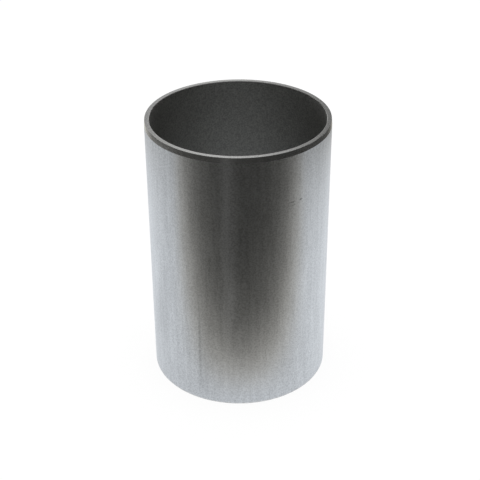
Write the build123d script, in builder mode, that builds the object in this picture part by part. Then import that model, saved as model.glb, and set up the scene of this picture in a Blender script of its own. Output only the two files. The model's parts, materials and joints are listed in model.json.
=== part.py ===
"""Dry cylinder liner: a thin centrifugally cast iron sleeve that is pressed into an engine block.

One turned piece. Its outside is ground to the block's bore, its inside is honed for the piston, and
both ends are faced square. One end has a long shallow taper outside, which starts the liner straight
into the block, and both ends have a small chamfer inside, which lets the piston rings in.

Frame: the origin is the centre of the plain end, which the liner stands on. +Z runs along the bore
towards the tapered end. Millimetres.
"""

from build123d import *

import os

# Driving dimensions
outer_diameter = 90.0  # ground outside, a press fit in the block
wall_thickness = 2.5  # from the ground outside to the honed bore
length = 139.0  # from the plain end's face to the tapered end's face
lead_in_length = 2.6  # the outside taper, measured along the liner
lead_in_depth = 0.25  # the outside taper, measured inwards at its end face
bore_chamfer = 0.2  # 45 degree chamfer where the bore meets each end face
plain_end_break = 0.15  # 45 degree edge break outside at the plain end

# Sizes that follow from them
outer_radius = outer_diameter / 2
bore_radius = outer_radius - wall_thickness


def wall_section():
    """The outline of the wall, cut along the axis, as (radius, height) points.

    It goes up the outside, in across the tapered end, down the bore and out across the plain end.
    """
    ground_outside = [
        (outer_radius - plain_end_break, 0),
        (outer_radius, plain_end_break),
        (outer_radius, length - lead_in_length),
    ]
    tapered_end_face = [
        (outer_radius - lead_in_depth, length),
        (bore_radius + bore_chamfer, length),
    ]
    honed_bore = [
        (bore_radius, length - bore_chamfer),
        (bore_radius, bore_chamfer),
    ]
    plain_end_face = [(bore_radius + bore_chamfer, 0)]
    return ground_outside + tapered_end_face + honed_bore + plain_end_face


with BuildPart() as cylinder_liner:
    with BuildSketch(Plane.XZ):
        with BuildLine():
            Polyline(*wall_section(), close=True)
        make_face()
    revolve(axis=Axis.Z)

cylinder_liner.part.label = "cylinder_liner"

os.makedirs("parts", exist_ok=True)
export_step(cylinder_liner.part, "parts/cylinder_liner.step")
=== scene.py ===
import json
from math import cos, pi, radians, sin, tan

import bmesh
import bpy
from mathutils import Matrix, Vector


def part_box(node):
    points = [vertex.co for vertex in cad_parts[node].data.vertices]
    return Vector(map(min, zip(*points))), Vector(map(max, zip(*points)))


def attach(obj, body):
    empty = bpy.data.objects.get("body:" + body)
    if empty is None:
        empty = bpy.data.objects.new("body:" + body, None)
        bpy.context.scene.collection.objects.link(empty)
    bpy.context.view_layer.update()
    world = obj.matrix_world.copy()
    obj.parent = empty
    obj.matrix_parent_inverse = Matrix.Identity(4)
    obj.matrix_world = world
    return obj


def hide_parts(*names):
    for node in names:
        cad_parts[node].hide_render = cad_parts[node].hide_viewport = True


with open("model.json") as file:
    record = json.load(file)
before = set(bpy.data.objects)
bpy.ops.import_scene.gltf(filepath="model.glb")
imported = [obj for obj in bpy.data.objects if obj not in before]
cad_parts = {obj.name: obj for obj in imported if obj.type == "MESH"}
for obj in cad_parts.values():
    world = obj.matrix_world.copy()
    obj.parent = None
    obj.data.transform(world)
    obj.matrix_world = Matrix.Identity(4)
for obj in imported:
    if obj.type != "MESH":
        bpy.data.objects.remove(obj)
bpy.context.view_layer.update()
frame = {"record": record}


# Cylinder liner
# One sleeve of centrifugally cast iron, pressed into an engine block. Its outside is ground, the
# lead-in taper and both end faces are turned, and the bore is honed crosswise.

mm_per_metre = 1000
mounts = {mount["name"]: mount["dims"] for mount in frame["record"]["mounts"]}
liner_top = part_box("cylinder_liner")[1]
outer_radius = liner_top.x
length = liner_top.z
bore_radius = mounts["piston_bore"]["r_mm"] / mm_per_metre
lead_in_length = 0.0026
lead_in_depth = 0.00025
bore_chamfer = 0.0002
plain_end_break = 0.00015
edge_rounding = 0.00004
taper_start = length - lead_in_length

wall_section = [
    (outer_radius - plain_end_break, 0),
    (outer_radius, plain_end_break),
    (outer_radius, taper_start),
    (outer_radius - lead_in_depth, length),
    (bore_radius + bore_chamfer, length),
    (bore_radius, length - bore_chamfer),
    (bore_radius, bore_chamfer),
    (bore_radius + bore_chamfer, 0),
]

turn_steps = 360
wall_rows = 32

shape = bmesh.new()
corners = [shape.verts.new((radius, 0, height)) for radius, height in wall_section]
outline = [shape.edges.new(ends) for ends in zip(corners, corners[1:] + corners[:1])]
bmesh.ops.spin(
    shape,
    geom=corners + outline,
    axis=(0, 0, 1),
    cent=(0, 0, 0),
    angle=2 * pi,
    steps=turn_steps,
    use_merge=True,
)
bmesh.ops.recalc_face_normals(shape, faces=shape.faces)

level_limit = 1e-6
step_slack = 1.2
ring_step_limit = step_slack * 2 * pi * outer_radius / turn_steps


def goes_round(edge):
    """Whether an edge lies along one of the liner's rings, and not across its wall."""
    rise = edge.verts[1].co.z - edge.verts[0].co.z
    return abs(rise) < level_limit and edge.calc_length() < ring_step_limit


# The taper meets the ground outside in a crisp line. Every other ring is rounded a little.
rings = [edge for edge in shape.edges if goes_round(edge)]
for edge in rings:
    edge.smooth = abs(edge.verts[0].co.z - taper_start) > level_limit
bmesh.ops.bevel(
    shape,
    geom=[edge for edge in rings if edge.smooth],
    offset=edge_rounding,
    offset_type="OFFSET",
    segments=2,
    profile=0.5,
    affect="EDGES",
    clamp_overlap=True,
    material=-1,
)

# The wall is cut into rows, so that its faces aren't long slivers.
bmesh.ops.subdivide_edges(
    shape,
    edges=[edge for edge in shape.edges if edge.calc_length() > length / 2],
    cuts=wall_rows - 1,
    use_grid_fill=True,
)

GROUND, LEAD_IN, TURNED, HONED = range(4)
steepest_wall = 0.2
for face in shape.faces:
    middle = face.calc_center_median()
    faces_inwards = face.normal.x * middle.x + face.normal.y * middle.y < 0
    if abs(face.normal.z) > steepest_wall:
        face.material_index = TURNED
    elif faces_inwards:
        face.material_index = HONED
    elif middle.z > taper_start:
        face.material_index = LEAD_IN
    else:
        face.material_index = GROUND
    face.smooth = True

liner_mesh = bpy.data.meshes.new("cylinder_liner_finished")
shape.to_mesh(liner_mesh)
shape.free()
liner = bpy.data.objects.new("cylinder_liner_finished", liner_mesh)
bpy.context.scene.collection.objects.link(liner)
even_shading = liner.modifiers.new("even_shading", "WEIGHTED_NORMAL")
even_shading.keep_sharp = True
even_shading.weight = 100


class Wire:
    """A socket that gives a value in a material. Sums written with it become Math nodes."""

    def __init__(self, tree, socket=None):
        self.tree, self.socket = tree, socket

    def node(self, kind, settings=None, sockets=None, output=0):
        """A new node, with its settings made first and then the values or links of its sockets."""
        node = self.tree.nodes.new(kind)
        for name, value in (settings or {}).items():
            setattr(node, name, value)
        for name, value in (sockets or {}).items():
            if isinstance(value, Wire):
                self.tree.links.new(value.socket, node.inputs[name])
            else:
                node.inputs[name].default_value = value
        return Wire(self.tree, node.outputs[output]) if node.outputs else None

    def maths(self, operation, *values):
        return self.node("ShaderNodeMath", {"operation": operation}, dict(enumerate(values)))

    def __add__(self, other):
        return self.maths("ADD", self, other)

    def __mul__(self, other):
        return self.maths("MULTIPLY", self, other)

    def __sub__(self, other):
        return self.maths("SUBTRACT", self, other)

    def __rsub__(self, other):
        return self.maths("SUBTRACT", other, self)

    def __truediv__(self, other):
        return self.maths("DIVIDE", self, other)

    def __rtruediv__(self, other):
        return self.maths("DIVIDE", other, self)

    def __pow__(self, other):
        return self.maths("POWER", self, other)

    def __neg__(self):
        return self.maths("MULTIPLY", self, -1)

    def __abs__(self):
        return self.maths("ABSOLUTE", self)

    __radd__, __rmul__ = __add__, __mul__


def new_finish(name):
    """A material with an empty node tree, and a Wire to write it with."""
    material = bpy.data.materials.new(name)
    material.use_nodes = True
    material.node_tree.nodes.clear()
    return material, Wire(material.node_tree)


def object_place(finish):
    return finish.node("ShaderNodeTexCoord", output="Object")


def vector(finish, operation, *values, output=0, **named_values):
    sockets = dict(enumerate(values)) | named_values
    return finish.node("ShaderNodeVectorMath", {"operation": operation}, sockets, output)


def scaled(finish, colour, strength):
    """A colour or a vector, made larger or smaller by a varying strength."""
    return vector(finish, "SCALE", colour, Scale=strength)


def size_of(finish, place):
    return vector(finish, "LENGTH", place, output="Value")


def split(finish, place):
    return [finish.node("ShaderNodeSeparateXYZ", {}, {0: place}, axis) for axis in "XYZ"]


def join(finish, x, y, z):
    return finish.node("ShaderNodeCombineXYZ", {}, {0: x, 1: y, 2: z})


middle_level = 0.5


def noise(finish, place, scale=1.0):
    """Even random marks, from about -0.3 to 0.3. The scale is in marks for each metre."""
    return finish.node("ShaderNodeTexNoise", {}, {"Vector": place, "Scale": scale}) - middle_level


def soft_step(finish, value, low, high):
    """0 below low, 1 above high, and smooth between."""
    limits = {"Value": value, "From Min": low, "From Max": high}
    return finish.node("ShaderNodeMapRange", {"interpolation_type": "SMOOTHSTEP"}, limits)


grain_scale = 1300
grain_contrast = 0.2


def grain(finish, place):
    """The fine even grain of the iron, from -0.5 to 0.5."""
    specks = noise(finish, place, grain_scale)
    return soft_step(finish, specks, -grain_contrast, grain_contrast) - middle_level


across_circles = 0.25


def iron(finish, colour, roughness, height, depth, lay):
    """Bare machined iron, whose gloss is drawn out across the circles that the tool left.

    A height of 1 in its marks is as high as depth, in metres. Lay is how far they draw out the gloss.
    """
    relief = finish.node("ShaderNodeBump", {}, {"Strength": 1.0, "Distance": depth, "Height": height})
    looks = {
        "Base Color": colour,
        "Metallic": 1.0,
        "Roughness": roughness,
        "Anisotropic": lay,
        "Anisotropic Rotation": across_circles,
        "Normal": relief,
    }
    surface = finish.node("ShaderNodeBsdfPrincipled", {}, looks)
    finish.node("ShaderNodeOutputMaterial", {}, {"Surface": surface})


wheel_lines = (60, 60, 6000)
wiped_streaks = (500, 500, 40)
machining_depth = 0.000004


def wheel_marks(finish, place):
    """Fine lines that a wheel or a tool leaves round the liner, and faint wiped streaks along it."""
    lines = noise(finish, vector(finish, "MULTIPLY", place, wheel_lines))
    streaks = noise(finish, vector(finish, "MULTIPLY", place, wiped_streaks))
    return lines, streaks


mark_grain = 1800
mark_raggedness = 1.2
mark_core = 0.2


def handling_mark(finish, place, strength, middle, reach):
    """Its strength in the middle of a small ragged mark, and 0 outside its reach."""
    away = vector(finish, "DIVIDE", vector(finish, "SUBTRACT", place, middle), reach)
    ragged = size_of(finish, away) + mark_raggedness * noise(finish, place, mark_grain)
    return strength * (1 - soft_step(finish, ragged, mark_core, 1.0))


# The ground outside. Each handling mark has its strength, its middle and its reach.
ground_tone = (0.605, 0.61, 0.615)
ground_roughness = 0.321
ground_lay = 0.76
blotch_scale = 70
ground_specks, ground_lines, ground_streaks, ground_blotches = 0.3, 0.15, 0.35, 0.16
matt_specks, matt_blotches, matt_streaks, matt_marks = 0.04, 0.03, 0.02, 0.1
knock = 0.60, (0.0289, -0.0345, 0.1125), (0.0014, 0.0014, 0.0006)
rub = 0.40, (0.0247, -0.0376, 0.1125), (0.0028, 0.0028, 0.0005)
small_rub = 0.30, (0.0252, -0.0373, 0.1108), (0.0022, 0.0022, 0.0004)
long_scratch = 0.22, (-0.0197, -0.0405, 0.0320), (0.0011, 0.0011, 0.0320)

ground, finish = new_finish("ground_iron")
place = object_place(finish)
specks = grain(finish, place)
lines, streaks = wheel_marks(finish, place)
blotches = noise(finish, place, blotch_scale)
marks = (
    handling_mark(finish, place, *knock)
    + handling_mark(finish, place, *rub)
    + handling_mark(finish, place, *small_rub)
    + handling_mark(finish, place, *long_scratch)
)
machined = ground_specks * specks + ground_lines * lines
worn = ground_streaks * streaks + ground_blotches * blotches - marks
matt = matt_specks * specks + matt_blotches * blotches + matt_streaks * streaks + matt_marks * marks
colour = scaled(finish, ground_tone, 1 + machined + worn)
iron(finish, colour, ground_roughness + matt, specks + lines, machining_depth, ground_lay)

# The turned lead-in taper. It was cut by a fine tool, so it is the glossiest.
# Its tone is a little darker than the other iron's. Part of that is the iron's own tone, and part is
# painted shade for the dark band that the taper reflects.
lead_in_tone_and_shade = (0.553, 0.553, 0.547)
lead_in_roughness = 0.198
lead_in_lay = 0.06
lead_in_specks, lead_in_lines, lead_in_streaks = 0.25, 0.1, 0.3

lead_in, finish = new_finish("lead_in_iron")
place = object_place(finish)
specks = grain(finish, place)
lines, streaks = wheel_marks(finish, place)
tone = 1 + lead_in_specks * specks + lead_in_lines * lines + lead_in_streaks * streaks
colour = scaled(finish, lead_in_tone_and_shade, tone)
iron(finish, colour, lead_in_roughness, specks + lines, machining_depth, lead_in_lay)

# The turned end faces and chamfers, with a tool's fine rings round the bore.
turned_tone = (0.598, 0.598, 0.589)
turned_roughness = 0.243
turned_lay = 0.2
tool_rings = 9000
ring_change = 60
turned_specks, turned_rings = 0.25, 0.2
speck_height = 0.5
matt_rings = 0.08

turned, finish = new_finish("turned_iron")
place = object_place(finish)
across, depth, height = split(finish, place)
radius = size_of(finish, join(finish, across, depth, 0.0))
rings = noise(finish, join(finish, tool_rings * radius, tool_rings * height, ring_change * across))
specks = grain(finish, place)
colour = scaled(finish, turned_tone, 1 + turned_specks * specks + turned_rings * rings)
roughness = turned_roughness + matt_rings * rings
iron(finish, colour, roughness, speck_height * specks + rings, machining_depth, turned_lay)

# The honed bore, with the fine crossed strokes of a hone that turns while it goes up and down.
# Its tone is much darker than the outside's. Part of that is the honed iron's own tone, and part is
# painted shade for the dim inside of the bore.
honed_tone_and_shade = (0.4185, 0.4165, 0.402)
honed_roughness = 0.596
honed_lay = 0.338
hone_angle = radians(27.5)
strokes_per_radian = 48
stroke_change = 40
honed_specks, honed_strokes = 0.4, 0.25
matt_strokes = 0.1
honing_depth = 0.000003

honed, finish = new_finish("honed_iron")
place = object_place(finish)
across, depth, height = split(finish, place)
turn = finish.maths("ARCTAN2", depth, across)
climb = height / (bore_radius * tan(hone_angle))


def hone_strokes(finish, helix):
    """Fine strokes that follow one of the two helices of the hone's path."""
    east = strokes_per_radian * finish.maths("COSINE", helix)
    north = strokes_per_radian * finish.maths("SINE", helix)
    return noise(finish, join(finish, east, north, stroke_change * height))


strokes = hone_strokes(finish, turn + climb) + hone_strokes(finish, turn - climb)
specks = grain(finish, place)
colour = scaled(finish, honed_tone_and_shade, 1 + honed_specks * specks + honed_strokes * strokes)
roughness = honed_roughness + matt_strokes * strokes
iron(finish, colour, roughness, specks + strokes, honing_depth, honed_lay)

for material in (ground, lead_in, turned, honed):
    liner_mesh.materials.append(material)

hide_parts("cylinder_liner")
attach(liner, "root")


# Floor
# A wide sheet of matt white board under the liner. It shows white, and keeps the liner's faint
# shadow. It isn't made to show white in reflections inside the bore, where little light gets.

floor_radius = 3.0
floor_sides = 96
board_tone = (0.9, 0.9, 0.9, 1)
white = (1, 1, 1, 1)
board_glow = 1.05
board_glow_share = 0.85


def add_stage(name, shape, material):
    """A piece of the studio, which isn't part of the liner."""
    mesh = bpy.data.meshes.new(name)
    shape.to_mesh(mesh)
    shape.free()
    mesh.materials.append(material)
    piece = bpy.data.objects.new(name, mesh)
    bpy.context.scene.collection.objects.link(piece)
    return piece


board, finish = new_finish("white_board")
matt = finish.node("ShaderNodeBsdfDiffuse", {}, {"Color": board_tone})
glowing = finish.node("ShaderNodeEmission", {}, {"Color": white, "Strength": board_glow})
seen = finish.node("ShaderNodeLightPath", output="Is Camera Ray")
mirrored = finish.node("ShaderNodeLightPath", output="Is Glossy Ray")
through_glass = finish.node("ShaderNodeLightPath", output="Is Transmission Ray")
outside = finish.maths("GREATER_THAN", size_of(finish, object_place(finish)), outer_radius)
shows_white = board_glow_share * (seen + mirrored * outside + through_glass)
surface = finish.node("ShaderNodeMixShader", {}, {0: shows_white, 1: matt, 2: glowing})
finish.node("ShaderNodeOutputMaterial", {}, {"Surface": surface})

shape = bmesh.new()
bmesh.ops.create_circle(shape, cap_ends=True, segments=floor_sides, radius=floor_radius)
add_stage("floor", shape, board)


# Room
# A white table top in a dark room, with light low behind it, up the middle there and overhead. It is
# what the bare iron reflects, and nothing but a reflection shows it.

room_tone = (0.0378, 0.0376, 0.0353)
room_lean = -0.394


def reflected_only(name, shape, glow):
    """A glowing piece of the studio that nothing sees but a reflection."""
    material, finish = new_finish(name)
    surface = finish.node("ShaderNodeEmission", {}, {"Color": glow(finish), "Strength": 1.0})
    finish.node("ShaderNodeOutputMaterial", {}, {"Surface": surface})
    piece = add_stage(name, shape, material)
    piece.visible_camera = piece.visible_diffuse = False
    piece.visible_shadow = piece.visible_transmission = False


# The Mix node's colour sockets go by number, because its other sockets have the same names.
mix_share, mix_low, mix_high, mixed_colour = 0, 6, 7, 2


def blend(finish, share, low, high):
    """A colour that goes from low to high as the share goes from 0 to 1."""
    sockets = {mix_share: share, mix_low: low, mix_high: high}
    return finish.node("ShaderNodeMix", {"data_type": "RGBA"}, sockets, mixed_colour)


def brighter(finish, colour, level):
    return vector(finish, "ADD", colour, scaled(finish, white[:3], level))


# The table top is white from a little in front of the liner back to its round far edge. Its front
# edge fades more softly at the sides.
fade_start = 0.0278
fade_length = 0.0538
fade_power = 6.37
fade_spread = 5.65
fade_turn = 0.0326
table_edge = 0.334
edge_shift = 0.0224
edge_blur = 0.041


def white_share(finish, across, depth, from_middle):
    """1 where the table is white: beside and behind the liner, as far as the table's edge."""
    forwards = sin(fade_turn) * across - cos(fade_turn) * depth - fade_start
    sharpness = fade_power / (1 + fade_spread * abs(across))
    front = 1 / (1 + (finish.maths("MAXIMUM", forwards, 0) / fade_length) ** sharpness)
    past_edge = from_middle - table_edge + edge_shift * across / from_middle
    return front * (1 - soft_step(finish, past_edge, -edge_blur, edge_blur))


# The dark in front has a faint pale strip, and grows a little lighter far off. The white has a wedge
# of painted shade in front on the left, and a soft painted shade.
strip_glow = 0.068
strip_start = (0.0, -0.0225)
strip_right, strip_left, strip_blur = -0.8, 19.8, 1.0
far_glow = 0.0274
far_from, far_to = 0.3, 0.5
wedge_shade_depth = 0.20
wedge_shade_start = (-0.0025, -0.0282)
wedge_shade_right, wedge_shade_left, wedge_shade_blur = 35.7, 54.6, 1.0
wedge_shade_from, wedge_shade_full = 0.047, 0.060
wedge_shade_fading, wedge_shade_end = 0.1018, 0.117
shade_depth = 0.17
shade_core, shade_reach = 0.01, 0.045


def sector(finish, across, depth, start, right, left, blur):
    """1 in the part of the table that opens forwards from start, between two directions in degrees."""
    turn = finish.maths("ARCTAN2", start[0] - across, start[1] - depth)
    turn = finish.maths("DEGREES", turn)
    past_left = soft_step(finish, turn, left - blur, left + blur)
    return soft_step(finish, turn, right, left - blur) * (1 - past_left)


table_height = 0.0005
shade_place = (-0.103, 0.012, table_height)
table_glow = 0.986
table_back_gain = 0.128
table_right_gain = 0.030
table_tone = (0.955, 1.0, 1.05, 1)
table_front_tone = (1.035, 1.0, 0.91, 1)
cool_from, cool_to = 0.8, 1.0


def table_brightness(finish):
    """White beside and behind the liner, and as dark as the room in front of it and past its edge."""
    place = object_place(finish)
    across, depth, _ = split(finish, place)
    from_middle = size_of(finish, place)
    share = white_share(finish, across, depth, from_middle)

    cool = soft_step(finish, share, cool_from, cool_to)
    even = 1 + (table_back_gain * depth + table_right_gain * across) / from_middle
    lit = scaled(finish, blend(finish, cool, table_front_tone, table_tone), table_glow * even)

    strip = sector(finish, across, depth, strip_start, strip_right, strip_left, strip_blur)
    glow = strip_glow * strip + far_glow * soft_step(finish, from_middle, far_from, far_to)
    dark = scaled(finish, room_tone, 1 + room_lean * across / from_middle)
    dark = brighter(finish, dark, glow)

    # A wedge of painted shade in front on the left, and a soft round painted shade, dim the table.
    starts = soft_step(finish, from_middle, wedge_shade_from, wedge_shade_full)
    ends = soft_step(finish, from_middle, wedge_shade_fading, wedge_shade_end)
    wedge_shade = sector(finish, across, depth, wedge_shade_start, wedge_shade_right, wedge_shade_left, wedge_shade_blur)
    wedge_shade = wedge_shade * starts * (1 - ends)
    from_shade = size_of(finish, vector(finish, "SUBTRACT", place, shade_place))
    shade = 1 - soft_step(finish, from_shade, shade_core, shade_reach)
    shaded = 1 - wedge_shade_depth * wedge_shade - shade_depth * shade
    return scaled(finish, blend(finish, share, dark, lit), shaded)


shape = bmesh.new()
bmesh.ops.create_circle(shape, cap_ends=True, segments=floor_sides, radius=floor_radius)
bmesh.ops.translate(shape, verts=shape.verts, vec=(0, 0, table_height))
reflected_only("table_reflection", shape, table_brightness)

# A round tent stands for the room's walls and ceiling. Its lights are placed by how far a direction
# rises, points back and points right.
tent_radius = 2.5
tent_foot = -0.01
tent_sides = 48
tent_rows = 24
horizon_glow = 1.187
horizon_low, horizon_high = 0.067, 0.353
behind_from, behind_to = 0.092, 0.664
behind_turn = 0.177
column_glow = 0.835
column_place = -0.0245
column_width = 0.165
column_low, column_high = 0.229, 0.529
column_front, column_back = 0.0, 0.4
overhead_glow = 0.2725
overhead_low, overhead_high = 0.376, 0.93


def tent_glow(finish):
    """Bright near the horizon behind the liner and up the middle there, less bright overhead."""
    toward = vector(finish, "NORMALIZE", object_place(finish))
    across, depth, height = split(finish, toward)
    behind = cos(behind_turn) * depth - sin(behind_turn) * across
    low = 1 - soft_step(finish, height, horizon_low, horizon_high)
    horizon = soft_step(finish, behind, behind_from, behind_to) * low
    column = (
        soft_step(finish, -abs(across - column_place), -column_width, 0.0)
        * soft_step(finish, depth, column_front, column_back)
        * soft_step(finish, height, column_low, column_high)
    )
    overhead = soft_step(finish, height, overhead_low, overhead_high)
    glow = horizon_glow * horizon + column_glow * column + overhead_glow * overhead
    return brighter(finish, room_tone, glow)


shape = bmesh.new()
bmesh.ops.create_uvsphere(shape, u_segments=tent_sides, v_segments=tent_rows, radius=tent_radius)
bmesh.ops.bisect_plane(
    shape,
    geom=shape.verts[:] + shape.edges[:] + shape.faces[:],
    plane_co=(0, 0, tent_foot),
    plane_no=(0, 0, 1),
    clear_inner=True,
)
reflected_only("tent", shape, tent_glow)


# Light
# An even white light from all round, at a plain level. It comes from the world alone, so the liner's
# shadow is no more than a faint one round its foot.

light_strength = 1.0
world = bpy.data.worlds.new("studio")
bpy.context.scene.world = world
world.use_nodes = True
world.node_tree.nodes.clear()
sky = Wire(world.node_tree)
light = sky.node("ShaderNodeBackground", {}, {"Color": white, "Strength": light_strength})
sky.node("ShaderNodeOutputWorld", {}, {"Surface": light})


# Camera
# It looks down at the liner from in front, through a long lens, with the lead-in end up. It is
# panned and rolled by a hair, in radians as its pitch is.

camera_place = (0, -0.48533, 0.36117)
camera_pitch = 0.5406
camera_pan = 0.00115
camera_roll = -0.0063
camera_lens = 83.267
camera_sensor = 36

lens = bpy.data.cameras.new("camera")
lens.lens = camera_lens
lens.sensor_width = camera_sensor
camera = bpy.data.objects.new("camera", lens)
bpy.context.scene.collection.objects.link(camera)
camera.matrix_world = (
    Matrix.Translation(camera_place)
    @ Matrix.Rotation(-camera_pan, 4, "Z")
    @ Matrix.Rotation(pi / 2 - camera_pitch, 4, "X")
    @ Matrix.Rotation(camera_roll, 4, "Z")
)
bpy.context.scene.camera = camera
bpy.context.scene.view_settings.view_transform = "Standard"
